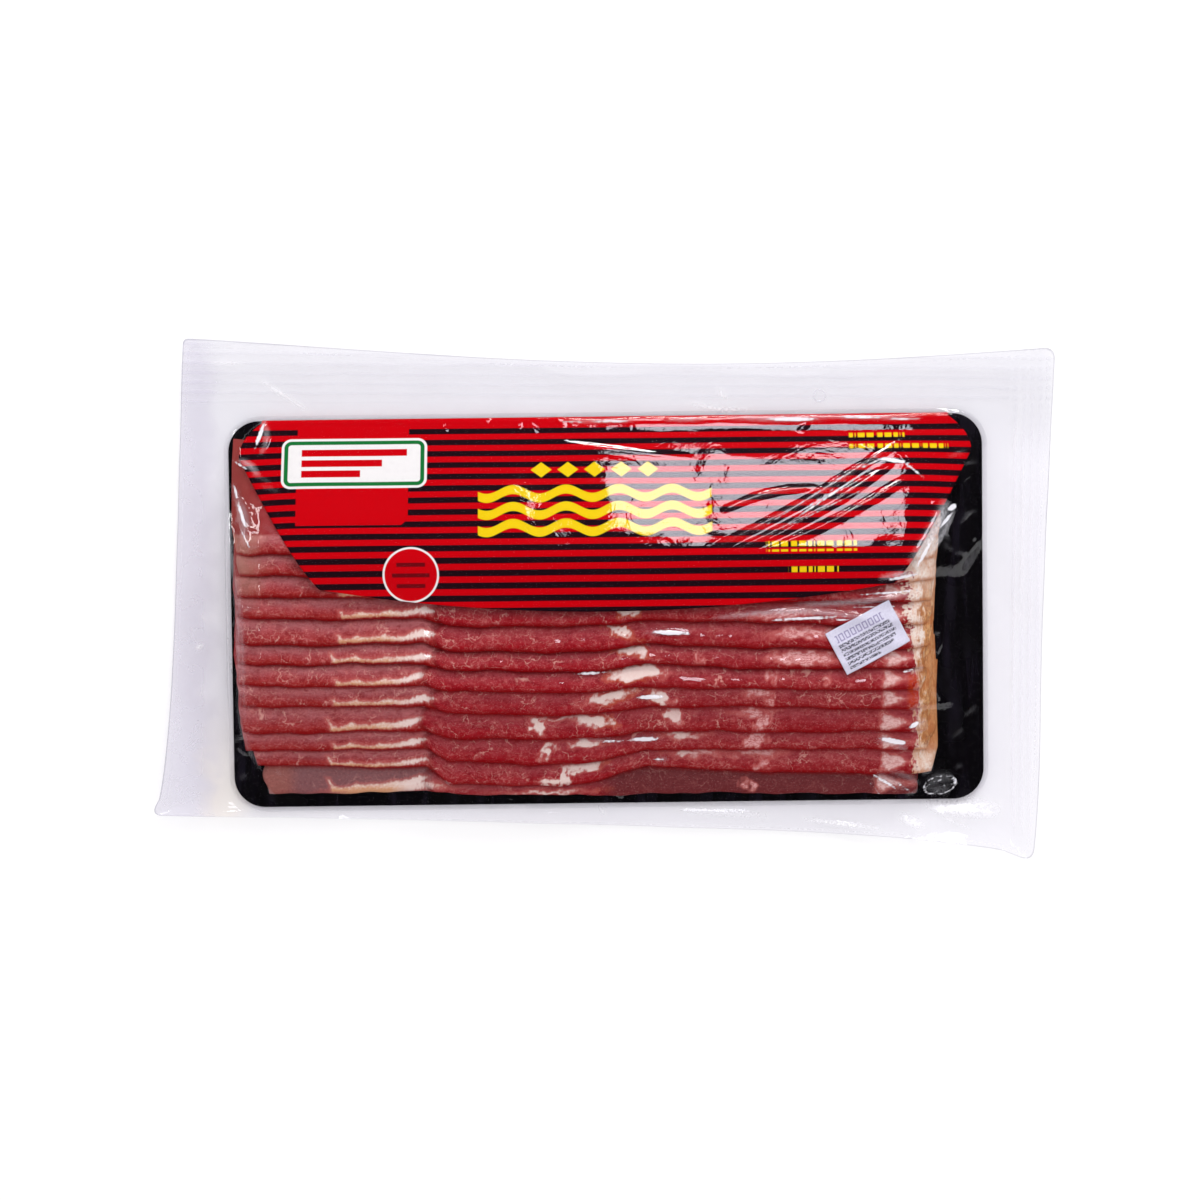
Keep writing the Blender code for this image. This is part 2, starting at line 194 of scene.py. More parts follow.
MARGIN_CREASES = (  # rows like those of the film's creases
    (-113.5, 73, -94, 60.5, 0.3, 0.7, 0, 0.8), (-127.5, 77, -116, 77, 0.2, 0.6, 0, 0.6),
    (-128.5, 83, -126.5, 81, 0.3, 0.8, 0, 0.7), (-125, 80, -123.5, 66, 0.3, 0.7, 1.5, 0.3),
    (-123, -10, -120.5, -29, 0.3, 0.8, 1.5, 0.8), (-133, -16, -130, -14.5, 0.3, 0.7, 0, 0.8),
    (136, 72, 131, 40, 0.4, 0.8, 1.5, 0.3), (136.5, 60, 134, -40, 0.3, 0.6, 1, 0.25),
    (134.5, 20, 131.5, -66, 0.3, 0.6, 1, 0.25), (26, 64.5, 50, 62, 0.4, 0.9, -1, 0.7),
    (37, 70, 41, 64, 0.4, 0.9, 0, 0.6), (104, -66.5, 132, -69, 0.8, 3.2, 0, 0.9),
    (96, -70, 106, -74.5, 0.6, 1.8, 0, 0.8), (64, -71.5, 93, -75, 0.4, 0.9, 0, 0.9),
    (20, -68.5, 60, -71, 0.4, 1.4, 0, 0.5), (129.5, -76, 131.5, -81, 0.5, 0.9, 0, 0.8),
    (108, -68, 124, -76, 0.5, 1.2, -1, 0.4), (-2, -66.5, 1, -71, 0.4, 0.8, 0, 0.7),
)

# The date sticker.
STICKER_SIZE = (23.0, 15.0, 0.25)
STICKER_CENTRE = (84.9, -11.0)
STICKER_TURN = math.radians(28.4)


def srgb(red, green, blue):
    """A colour as seen on a screen, 0 to 255, as the linear colour that shaders take."""
    values = [c / 255 for c in (red, green, blue)]
    return tuple(c / 12.92 if c <= 0.04045 else ((c + 0.055) / 1.055) ** 2.4 for c in values)


# The print's colours, as seen on a screen.
RED = (198, 2, 14)
BLACK = (30, 12, 20)
YELLOW = (236, 203, 20)
WHITE = (236, 234, 232)
GREEN = (24, 112, 52)


# Node maths


class Field:
    """A value that a material works out at every point, so that sums of them read as sums."""

    def __init__(self, node, output=0):
        self.socket = node.outputs[output]
        self.tree = node.id_data

    def maths(self, operation, *others):
        node = new_node(self.tree, "Math", dict(enumerate((self, *others))))
        node.operation = operation
        return Field(node)

    def __add__(self, other):
        return self.maths("ADD", other)

    def __sub__(self, other):
        return self.maths("SUBTRACT", other)

    def __rsub__(self, other):
        return self * -1 + other

    def __mul__(self, other):
        return self.maths("MULTIPLY", other)

    def __truediv__(self, other):
        return self.maths("DIVIDE", other)

    def maximum(self, other):
        return self.maths("MAXIMUM", other)

    def minimum(self, other):
        return self.maths("MINIMUM", other)

    def __abs__(self):
        return self.maths("ABSOLUTE")

    def fraction(self):
        return self.maths("FRACT")

    def sine(self):
        return self.maths("SINE")

    def root(self):
        return self.maths("SQRT")

    def ramp(self, low, high, start=0, end=1):
        """Eases from start to end while this goes from low to high."""
        limits = {"From Min": low, "From Max": high, "To Min": start, "To Max": end}
        node = new_node(self.tree, "MapRange", {"Value": self, **limits})
        node.interpolation_type = "SMOOTHSTEP"
        return Field(node)


def feed(node, inputs):
    """Feeds a node's inputs, each with a field, a number, or a colour as seen on a screen."""
    for name, value in inputs.items():
        slot = node.inputs[name]
        if isinstance(value, Field):
            value.tree.links.new(value.socket, slot)
        elif isinstance(value, tuple):
            slot.default_value = (*srgb(*value), 1.0)
        else:
            slot.default_value = value


def new_node(tree, kind, inputs):
    node = tree.nodes.new("ShaderNode" + kind)
    feed(node, inputs)
    return node


def largest(fields):
    """The greatest of these fields, point by point."""
    return functools.reduce(Field.maximum, fields)


def attribute(tree, name):
    node = new_node(tree, "Attribute", {})
    node.attribute_name = name
    return Field(node, "Fac")


def position(tree):
    """X, Y and Z in millimetres."""
    split = new_node(tree, "SeparateXYZ", {0: Field(new_node(tree, "TexCoord", {}), "Object")})
    return [Field(split, axis) * 1000 for axis in "XYZ"]


def joined(x, y, z=0.0):
    """A vector from a field and two more fields or numbers."""
    return Field(new_node(x.tree, "CombineXYZ", {0: x, 1: y, 2: z}))


def cloudy(vector, scale, detail=3, rough=0.55, twist=0):
    """Noise from about 0 to 1, with this many features per millimetre."""
    inputs = {"Vector": vector, "Scale": scale, "Detail": detail, "Roughness": rough, "Distortion": twist}
    return Field(new_node(vector.tree, "TexNoise", inputs), "Fac")


def cracks(vector, scale):
    """Distance to the nearest line of an irregular net, in cells."""
    node = new_node(vector.tree, "TexVoronoi", {"Vector": vector, "Scale": scale})
    node.feature = "DISTANCE_TO_EDGE"
    return Field(node, "Distance")


def blend(share, first, second):
    """A colour between first and second. Each is a field, or a colour as seen on a screen."""
    node = new_node(share.tree, "Mix", {"Factor": share})
    node.data_type = "RGBA"
    node.clamp_factor = True
    first_slot, second_slot = [i for i, slot in enumerate(node.inputs) if slot.type == "RGBA"]
    feed(node, {first_slot: first, second_slot: second})
    return Field(node, 2)  # the node's colour output


def layered(colour, *layers):
    """A colour with others laid over it in turn. Each layer is a pair of its share and its colour."""
    for share, layer in layers:
        colour = blend(share, colour, layer)
    return colour


def new_material(name):
    material = bpy.data.materials.new(name)
    material.use_nodes = True
    tree = material.node_tree
    return material, tree, tree.nodes["Principled BSDF"]


def bumped(height, distance, strength):
    """The way a surface faces once this field raises it, in millimetres times distance."""
    inputs = {"Height": height, "Distance": distance * MM, "Strength": strength}
    return Field(new_node(height.tree, "Bump", inputs))


def finish(shader, colour, roughness, shine, normal):
    looks = {"Base Color": colour, "Roughness": roughness, "Specular IOR Level": shine, "Normal": normal}
    feed(shader, looks)


# Meshes


def lumps(x, y, size, seed):
    """Smooth random hills, about this far apart, mostly between -1 and 1: waves that cross at random."""
    draw = np.random.default_rng(seed)
    total = 0.0
    for _ in range(9):
        heading, phase = draw.uniform(0, 2 * np.pi, 2)
        number = 2 * np.pi / (size * draw.uniform(1.4, 3.2))
        total = total + np.sin((x * math.cos(heading) + y * math.sin(heading)) * number + phase)
    return total / 4.5


def placed(name, data):
    """A new object in the scene that shows this mesh, light or camera."""
    thing = bpy.data.objects.new(name, data)
    bpy.context.scene.collection.objects.link(thing)
    return thing


def add_piece(name, rows, material, attributes=None, wraps=False, caps=False, replaces=None):
    """A piece of the part from rows of points, in millimetres. Rows that wrap are closed rings."""
    rows = np.asarray(rows, dtype=float)
    count_rows, count = rows.shape[:2]
    numbers = np.arange(count_rows * count).reshape(count_rows, count)
    following = np.roll(numbers, -1, axis=1)
    if not wraps:
        numbers, following = numbers[:, :-1], following[:, :-1]
    quads = np.stack((numbers[:-1], following[:-1], following[1:], numbers[1:]), axis=-1)
    faces = quads.reshape(-1, 4).tolist()
    if caps:
        faces += [list(range(count))[::-1], list(range((count_rows - 1) * count, count_rows * count))]
    mesh = bpy.data.meshes.new(name)
    mesh.from_pydata((rows.reshape(-1, 3) * MM).tolist(), [], faces)
    for key, values in (attributes or {}).items():
        layer = mesh.attributes.new(key, "FLOAT", "POINT")
        layer.data.foreach_set("value", np.asarray(values, dtype=np.float32).ravel())
    mesh.materials.append(material)
    mesh.shade_smooth()
    mesh.validate()
    piece = placed(name, mesh)
    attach(piece, "root")
    if replaces:
        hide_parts(replaces)
    return piece


def add_sheet(name, x, y, low, high, printed_at, material):
    """A closed sheet over a grid of places, with its print's own coordinates on both faces."""
    top, below = np.stack((x, y, high), axis=-1), np.stack((x, y, low), axis=-1)
    rows = np.concatenate((top, below[:, ::-1]), axis=1)
    across, down = [np.concatenate((values, values[:, ::-1]), axis=1) for values in printed_at]
    face = np.concatenate((np.ones_like(x), np.zeros_like(x)), axis=1)
    attributes = {"across": across, "down": down, "face": face}
    return add_piece(name, rows, material, attributes, True, True, replaces=name)


def turned(x, y, angle):
    """Points turned anticlockwise round the origin."""
    cosine, sine = math.cos(angle), math.sin(angle)
    return x * cosine - y * sine, x * sine + y * cosine


def on_board(x, y):
    """Points of the board's own frame, in the frame of the bag."""
    x, y = turned(x, y, BOARD_TURN)
    return BOARD_CENTRE[0] + x, BOARD_CENTRE[1] + y


def off_board(x, y):
    """Points of the bag's frame, in the board's own frame."""
    return turned(x - BOARD_CENTRE[0], y - BOARD_CENTRE[1], -BOARD_TURN)


def rounded_rectangle(width, depth, radius, steps):
    points = []
    for quarter, (across, up) in enumerate(((1, -1), (1, 1), (-1, 1), (-1, -1))):
        centre = (across * (width / 2 - radius), up * (depth / 2 - radius))
        start = math.pi * (quarter / 2 - 0.5)
        for i in range(steps + 1):
            angle = start + math.pi / 2 * i / steps
            points.append((centre[0] + radius * math.cos(angle), centre[1] + radius * math.sin(angle)))
    return points


# The slices


def edge(k, x):
    """Y of slice k's showing edge at these places along it."""
    bend = np.interp(x, *zip(*BENDS))
    sag = SAG[min(k, SLICES - 1)] * np.interp(x, SAG_FROM_TO, (0, 1, 1, 0))
    sag = sag + RIGHT_SAG[min(k, SLICES - 1)] * np.interp(x, RIGHT_SAG_FROM_TO, (0, 1))
    wander = 0.45 * lumps(x, k * 9.0, 13.0, 5) + 0.22 * lumps(x, k * 9.0, 4.0, 6)
    return EDGES[k] + bend - sag + (wander + 0.3 if k < SLICES else 0.0)


def stack_height(k, x, y):
    """Height of slice k's underside above the stack's floor, lying on the slices that reach there."""
    total = np.zeros(np.broadcast(x, y).shape)
    for j in range(k):
        full, none = edge(j + LAPS, x), edge(j + LAPS + 1, x)
        total += np.clip((none - y) / (none - full), 0, 1)
    return total * LAYER


def slice_points(k):
    """Rows of points round slice k, with each point's place on the slice and the width that shows."""
    spots = np.linspace(0, 1, 400)
    ease = 0.5 - 0.5 * np.cos(np.pi * spots)
    spots = 0.8 * spots + 0.2 * ease
    pitch = EDGES[k + 1] - EDGES[k]
    width = EDGES[k + LAPS] + TAIL - EDGES[k]
    lip = LIP * (1 - np.cos(np.linspace(0, np.pi / 2, 8)))
    top = np.concatenate((lip, np.linspace(LIP + 0.4, pitch + 2.5, 20), np.linspace(pitch + 5, width, 4)))
    bottom = np.linspace(width, 0, 5)
    behind = np.concatenate((top, bottom))[None, :]
    is_top = np.concatenate((np.ones(len(top)), np.zeros(len(bottom))))[None, :]
    lean = np.clip(behind / pitch, 0, 1.4)
    left = LEFT_ENDS[k] + 1.4 * (1 - lean) + 0.7 * lumps(behind, k * 7.0, 3.0, 11)
    right = RIGHT_ENDS[k] - 1.6 * (1 - lean) + 0.9 * lumps(behind, k * 7.0, 3.0, 12)
    x = left + (right - left) * spots[:, None]
    y = edge(k, x) + behind
    showing = edge(k + 1, x) - edge(k, x)
    from_end = np.minimum(x - left, right - x)
    roundness = np.sqrt(np.clip(1 - (1 - np.clip(from_end / 2.0, 0, 1)) ** 2, 0.004, 1))
    depth = np.clip(behind / LIP, 0, 1)
    lip_share = 0.15 + 0.85 * (1 - (1 - depth) ** 2.0) ** 0.5
    tail_share = np.sqrt(np.clip((width - behind) / 2.5, 0.02, 1))
    in_muscle = np.clip((x - SEAMS[k]) / 3, 0, 1) * np.clip((12 - x) / 6, 0, 1)
    pillow = (0.30 + 0.12 * in_muscle) * np.sin(np.pi * np.clip(behind / showing, 0, 1))
    pillow = pillow - 0.4 * np.exp(-(((x - SEAMS[k] - 0.8) / 1.2) ** 2))
    pillow = pillow - 0.4 * np.exp(-(((x - 11) / 3.0) ** 2))
    relief = 0.16 * lumps(x, y, 5.0, 20 + k) + 0.07 * lumps(x, y, 1.8, 40 + k)
    full = THICKNESS * lip_share * tail_share + pillow + relief * np.clip(behind / 1.5, 0, 1)
    height = stack_height(k, x, y) + is_top * full * roundness
    z = STACK_FLOOR + height * np.interp(x, *zip(*END_HEIGHTS))
    return np.stack((x, y, z), axis=-1), x, np.broadcast_to(behind, x.shape), showing


def blot(x, behind, centre, reach, turn=0.0):
    """Millimetres inside an oval patch of fat: more than 0 inside it, less than 0 outside."""
    along, across = turned(x - centre[0], behind - centre[1], -turn)
    u, v = along / reach[0], across / reach[1]
    return (1 - np.sqrt(u * u + v * v)) * min(reach)


def streak_of(k, x, behind, jitter):
    """The streak of fat that starts with a hook, runs along the showing edge and ends in a thick tip."""
    pitch = EDGES[k + 1] - EDGES[k]
    start = -89.0 + 0.6 * k + 1.2 * jitter[0]
    end = SEAMS[k] + 0.8 + 0.8 * jitter[1]
    run = np.clip((x - start) / (end - start), 0, 1)
    lobes = np.abs(np.sin(np.pi * ((3.2 + 0.5 * jitter[3]) * run**0.8 + 0.12 * jitter[2])))
    lower = pitch * (0.07 + 0.05 * run + 0.26 * run**5)
    upper = pitch * (0.43 + 0.30 * run**4) - 0.16 * pitch * lobes**0.55 * (1 - run**3)
    taper = np.clip((1 - run) / 0.11, 0, 1) ** 0.6
    inside = 0.5 * (upper - lower) * taper - np.abs(behind - 0.5 * (upper + lower))
    streak = np.minimum(inside, np.minimum(x - start, 0.8 * (end - x)))
    middle = start + 0.3 - 0.5 * (behind - 0.34 * pitch)
    hook = 0.5 - np.abs(x - middle) - 0.35 * np.clip(behind / pitch - 0.2, 0, 1)
    hook = np.minimum(hook, np.minimum(behind - lower, (0.50 + 0.12 * jitter[4]) * pitch - behind))
    return np.maximum(streak, hook)


def fat_of(k, x, behind, showing):
    """How far inside fat each point of slice k lies, in millimetres."""
    jitter = np.random.default_rng(300 + k).uniform(-1, 1, 6)
    level = behind + 20 * k
    ragged_x = x + 1.6 * lumps(x, level, 2.2, 81) + 1.0 * lumps(x, level, 1.0, 82)
    ragged_behind = behind + 0.9 * lumps(x, level, 2.2, 83) + 0.5 * lumps(x, level, 1.0, 84)
    fat = streak_of(k, x, behind + 0.15 * lumps(x, level, 1.2, 85), jitter)
    for place, share, half_length, half_width, turn in FAT_PATCHES.get(k, ()):
        across = ragged_behind - share * showing
        fat = np.maximum(fat, blot(ragged_x, across, (place, 0.0), (half_length, half_width), turn))
    # A wedge before the rind, widest at its left.
    left, length = 90.3 + 1.0 * jitter[3], 7.5 + 1.2 * jitter[4]
    wedge_x, wedge_behind = 0.6 * x + 0.4 * ragged_x, 0.6 * behind + 0.4 * ragged_behind
    half = 0.44 * showing * np.clip(1 - (wedge_x - left) / length, 0, 1)
    wedge = np.minimum(half - np.abs(wedge_behind - showing * (0.5 + 0.08 * jitter[5])), wedge_x - left)
    fat = np.maximum(fat, wedge * 0.8)
    if k == 0:
        fat = np.maximum(fat, blot(x, behind, (-70.0, 1.4), (17.0, 1.9), 0.06))
    return np.clip(fat, -6, 6)


def bacon_material():
    material, tree, shader = new_material("bacon")
    x, y, _ = position(tree)
    # The lap is 0 at the showing edge and 1 at the next slice's edge.
    names = ("behind", "lap", "fat", "bottom", "number", "past_seam")
    behind, lap, fat, bottom, number, past_seam = [attribute(tree, name) for name in names]
    place = joined(x, behind, number * 23)
    fine = cloudy(place, 1.3, 5, 0.7)
    broad = cloudy(place, 0.12)
    hairs = cloudy(joined(x, behind * 0.22, number * 23), 1.6, 4, 0.7)
    grain = cloudy(joined(x * 0.16, behind, number * 23), 1.4, 4, 0.6)
    specks = cloudy(place, 1.5, 3, 0.8)
    mottle = cloudy(joined(x * 0.6, behind, number * 31), 0.55, 3, 0.6)

    # Lean: pinker and greyer on the left, a red muscle in the middle, and brick red on the right. The
    # bottom slice has greyed on the left and gone brown on the right.
    rounded = (lap - 0.5) * (lap - 0.5) * 10
    muscle = (past_seam - rounded + (fine - 0.5) * 2).ramp(0, 1)
    right_half = (x + (broad - 0.5) * 26).ramp(4, 16)
    pale = blend(right_half, blend(muscle, (164, 80, 84), (158, 50, 58)), (156, 54, 60))
    deep = blend(right_half, blend(muscle, (154, 36, 32), (154, 14, 26)), (148, 26, 32))
    # Each band goes from deep red at its showing edge to paler behind it: painted shading, darker where the
    # rounded lip turns down.
    rise = (lap + (hairs - 0.5) * 0.35).ramp(0.12, 0.72)
    upper = blend(muscle, (198, 124, 126), (180, 88, 94))
    # A paler pink over the upper part of each band, stronger outside the muscle: a painted sheen of the
    # film.
    high = (lap + (hairs - 0.5) * 0.3).ramp(0.5, 0.8) * muscle.ramp(0, 1, 0.6, 0.3)
    muted = blend(x.ramp(-40, 0), (128, 92, 94), (94, 48, 50))
    muted = blend(x.ramp(-104, -98, 1, 0) * 0.7, muted, (158, 100, 88))
    greyed = x.ramp(-57, -54, 0.85, 0.15).maximum(x.ramp(-6, 6, 0, 0.8))
    # The film stands off the meat at the upper left; a paler colour there is its painted sheen.
    stood_off_sheen = (x + (broad - 0.5) * 16).ramp(-117, -106, 0.6, 0) * (y + x * 0.5).ramp(-62, -46)
    # Marbling: a thin broken net, denser in the muscle.
    wobble = (cloudy(place, 0.6) - 0.5) * 4.4
    sway = (cloudy(joined(behind, x, number * 17), 0.6) - 0.5) * 4.4
    net_place = joined((x + wobble) * 0.75, behind + sway, number * 23)
    patchy = cloudy(joined(x, behind, number * 11 + 40), 0.16, 2).ramp(0.46, 0.6)
    veins = cracks(net_place, 0.22).ramp(0.003, 0.026, 1, 0) * patchy
    hairline = cracks(net_place, 0.42).ramp(0.01, 0.06, 1, 0) * specks.ramp(0.35, 0.55)
    lean = layered(
        blend(rise, deep, pale),
        (high, upper),
        ((grain - 0.35).ramp(0, 0.4) * 0.35, (116, 20, 28)),
        (broad.ramp(0.42, 0.66) * 0.35, (168, 68, 68)),
        (mottle.ramp(0.5, 0.68) * 0.22, (186, 92, 96)),
        (mottle.ramp(0.48, 0.32) * 0.42, (122, 12, 24)),
        (bottom * greyed, muted),
        (specks.ramp(0.54, 0.74) * 0.48, (216, 126, 126)),
        (specks.ramp(0.48, 0.28) * 0.5, (96, 4, 14)),
        (stood_off_sheen, (182, 134, 118)),
        (veins * (bottom * -0.4 + 0.66), (226, 168, 156)),
        (hairline * broad.ramp(0.4, 0.6, 0.1, 0.42) * (bottom * -0.7 + 1), (212, 130, 124)),
    )

    # Fat: white to cream on the left and in the middle, pinker and thinner on the right.
    tip = past_seam.ramp(-14, -3) * past_seam.ramp(2, 4, 1, 0)
    frayed = fat + (fine - 0.5) * 1.3 + (hairs - 0.5) * (tip * 1.8 + 0.9)
    thin = (x + (broad - 0.5) * 20).ramp(20, 40) * x.ramp(86, 88, 1, 0.55)
    low = (lap + (fine - 0.5) * 0.3).ramp(0.12, 0.36, 0.75, 0)
    cream = layered(
        blend(fine.ramp(0.35, 0.7), (222, 182, 162), (238, 222, 210)),
        (grain.ramp(0.45, 0.7) * 0.4, (222, 158, 150)),
        ((x + 50).ramp(0, 6).maximum(tip) * 0.75, (238, 218, 212)),
        (thin, (224, 168, 166)),
        (low * (x + broad * 8).ramp(-66, -58, 1, 0.1), (208, 140, 84)),
    )
    rim_colour = blend(abs(x - 8).ramp(4, 14, 0.8, 0), (204, 110, 104), (196, 96, 58))
    surface = blend(frayed.ramp(-1.3, -0.05) * 0.5, lean, rim_colour)
    hairy = cloudy(joined(x * 0.8, behind * 1.5, number * 5), 1.1, 4, 0.75)
    sparse = thin.ramp(0, 1) * hairy.ramp(0.45, 0.52, 0.8, 0.05)
    surface = blend(frayed.ramp(-0.3, 0.65) * (0.97 - sparse), surface, cream)

    # The fold under each showing edge and the top of each band under the next slice's lip are darkened with
    # painted shade, partly juice too. The gap where fat gives way to muscle is a darker red, most near the
    # band's edges.
    fold = (lap + (hairs - 0.5) * 0.22).ramp(0.04, 0.22, 1, 0) * (bottom * -0.85 + 1)
    tucked_shade = (lap + (hairs - 0.5) * 0.15).ramp(0.84, 1.02) * 0.75
    gap = abs(past_seam - rounded - 0.2 + (fine - 0.5) * 2).ramp(0.3, 1.6, 0.75, 0)
    surface = layered(
        surface,
        (fold * (frayed.ramp(-0.1, 0.3) * -0.55 + 1) * 0.9, (134, 4, 10)),
        (tucked_shade, (138, 14, 22)),
        (gap * abs(lap - 0.5).ramp(0.1, 0.45, 0.3, 1), (112, 10, 16)),
    )

    # The rind: pale, with an orange-brown mottling along its outer side in the lower half.
    streaky = cloudy(joined(x, y * 0.35, number * 3), 0.5, 4, 0.7)
    ragged = (streaky - 0.5) * 13 + (fine - 0.5) * 4 + (mottle - 0.5) * y.ramp(-16, 0, 0, 22)
    in_rind = (x - y.ramp(-30, 0, 101.5, 97) + ragged).ramp(-0.4, 0.8) * (1 - bottom)
    low_half = (y + 50).ramp(-4, 6) * y.ramp(-6, 14, 1, 0.15)
    browned = (x + (streaky - 0.5) * 14).ramp(101.2, 103.8) * low_half
    brown = blend(streaky.ramp(0.42, 0.6), (214, 158, 98), (168, 100, 44))
    rind = layered(
        blend(streaky.ramp(0.4, 0.62), (236, 224, 214), (226, 192, 170)),
        (fine.ramp(0.5, 0.64) * 0.6, (208, 148, 120)),
        (browned * 0.9, blend(fine.ramp(0.5, 0.36) * 0.7, brown, (132, 66, 22))),
        ((x + (fine - 0.5) * 3).ramp(106, 109.5) * 0.35, (176, 120, 74)),
        # Thin orange-brown lines of painted shade where each slice's fold crosses the rind.
        (fold.maximum(tucked_shade) * 0.6, (190, 116, 72)),
    )
    ember = abs(y + 28.5).ramp(4, 7.5, 1, 0) * abs(x - 100).ramp(1, 2.6, 1, 0)
    surface = layered(surface, (in_rind, rind), (ember * fine.ramp(0.3, 0.6) * 0.85, (184, 56, 22)))

    relief = hairs * 0.6 + grain * 0.6 + frayed.ramp(-0.3, 0.3) * 0.3
    finish(shader, surface, fine.ramp(0.3, 0.8, 0.3, 0.52), 0.02, bumped(relief, 0.16, 0.6))
    return material


def make_slices():
    material = bacon_material()
    pieces = []
    for k in range(SLICES):
        points, x, behind, showing = slice_points(k)
        attributes = {
            "behind": behind,
            "lap": behind / showing,
            "fat": fat_of(k, x, behind, showing),
            "bottom": np.full(x.shape, 1.0 if k == 0 else 0.0),
            "number": np.full(x.shape, float(k)),
            "past_seam": x - SEAMS[k],
        }
        name = f"slice_{k + 1:02d}"
        piece = add_piece(name, points, material, attributes, wraps=True, replaces=name)
        pieces.append(piece)
    return pieces


# The board


def make_board():
    material, tree, shader = new_material("black_board")
    x, y, z = position(tree)
    # Lighter streaks along Y: a painted sheen on the black board; the same noise gives a faint bump.
    sheen_streaks = cloudy(joined(x, y * 0.15, z), 0.2, 5, 0.6)
    smudge = cloudy(joined(x, y, z), 0.05)
    colour = blend(sheen_streaks.ramp(0.45, 0.75) * 0.6, (10, 8, 11), (34, 29, 42))
    finish(shader, colour, smudge.ramp(0.35, 0.7, 0.16, 0.34), 0.2, bumped(sheen_streaks, 0.02, 0.3))
    rows = []
    low, high = BOARD_TOP - BOARD_THICKNESS, BOARD_TOP
    soft = 0.15
    for inset, z_row in ((soft, low), (0.0, low + soft), (0.0, high - soft), (soft, high)):
        width, depth = BOARD_SIZE[0] - 2 * inset, BOARD_SIZE[1] - 2 * inset
        outline = rounded_rectangle(width, depth, BOARD_CORNER - inset, 14)
        rows.append([(*on_board(px, py), z_row) for px, py in outline])
    return add_piece("board", rows, material, wraps=True, caps=True, replaces="board")


# The printed card


def card_half_width(y):
    share = np.clip((y - CARD_WIDEST_Y) / (CARD_FOLD_Y - CARD_WIDEST_Y), 0, 1)
    upper = CARD_WIDEST_HALF - (CARD_WIDEST_HALF - CARD_FOLD_HALF) * share**2.2
    share = np.clip((y - CARD_CORNER_Y) / (CARD_WIDEST_Y - CARD_CORNER_Y), 0, 1)
    lower = CARD_CORNER_HALF + (CARD_WIDEST_HALF - CARD_CORNER_HALF) * share**0.85
    return np.where(y > CARD_WIDEST_Y, upper, lower)


def card_height(x, y):
    """Height of the card's top, sloping from the fold up over the topmost slices."""
    fold = BOARD_CENTRE[1] + CARD_FOLD_Y
    marks = (CARD_CREST - 9, CARD_CREST - 3, CARD_CREST + 1.5, CARD_CREST + 6, CARD_FOOT, fold - 2, fold)
    slope = (STACK_TOP - STACK_FLOOR - THICKNESS) / (CARD_FOOT - CARD_CREST)
    upper = (STACK_TOP - 0.2, STACK_TOP, STACK_TOP - 1.0, STACK_TOP - 6 * slope)
    lower = (STACK_FLOOR + THICKNESS, STACK_FLOOR + 0.3, STACK_FLOOR - 0.1)
    level = np.interp(y, marks, upper + lower)
    down = np.clip((y - CARD_CREST - 6) / (CARD_FOOT - CARD_CREST - 6), 0, 1)
    level = level + CARD_BULGE * np.sin(np.pi * down)
    out = np.clip((np.abs(x) - CARD_DROOP_FROM) / (CARD_WIDEST_HALF - CARD_DROOP_FROM), 0, 1)
    height = (level - STACK_FLOOR) * (1 - CARD_DROOP * out**2)
    buckle = 0.22 * lumps(x, y, 22.0, 71) * np.clip((fold - y) / 12, 0, 1)
    return STACK_FLOOR + height + buckle + CARD_CLEARANCE + CARD_THICKNESS - 0.2


def box(across, down, left, right, top, bottom, soft=0.12):
    """1 inside a plain rectangle of the print."""
    beside = (across - left).minimum(right - across)
    return beside.minimum((down - top).minimum(bottom - down)).ramp(-soft, soft)


def dashes(across, spacing, gap):
    """1 on even dashes, and 0 in the gaps that take this share of their spacing."""
    return (across / spacing + 50.0).fraction().ramp(gap - 0.03, gap + 0.03)


def rounded_box(across, down, centre, half, radius):
    """Millimetres outside a rectangle with round corners, less than 0 inside it."""
    dx = abs(across - centre[0]) - (half[0] - radius)
    dy = abs(down - centre[1]) - (half[1] - radius)
    outside_x, outside_y = dx.maximum(0), dy.maximum(0)
    corner = (outside_x * outside_x + outside_y * outside_y).root()
    return corner + dx.maximum(dy).minimum(0) - radius


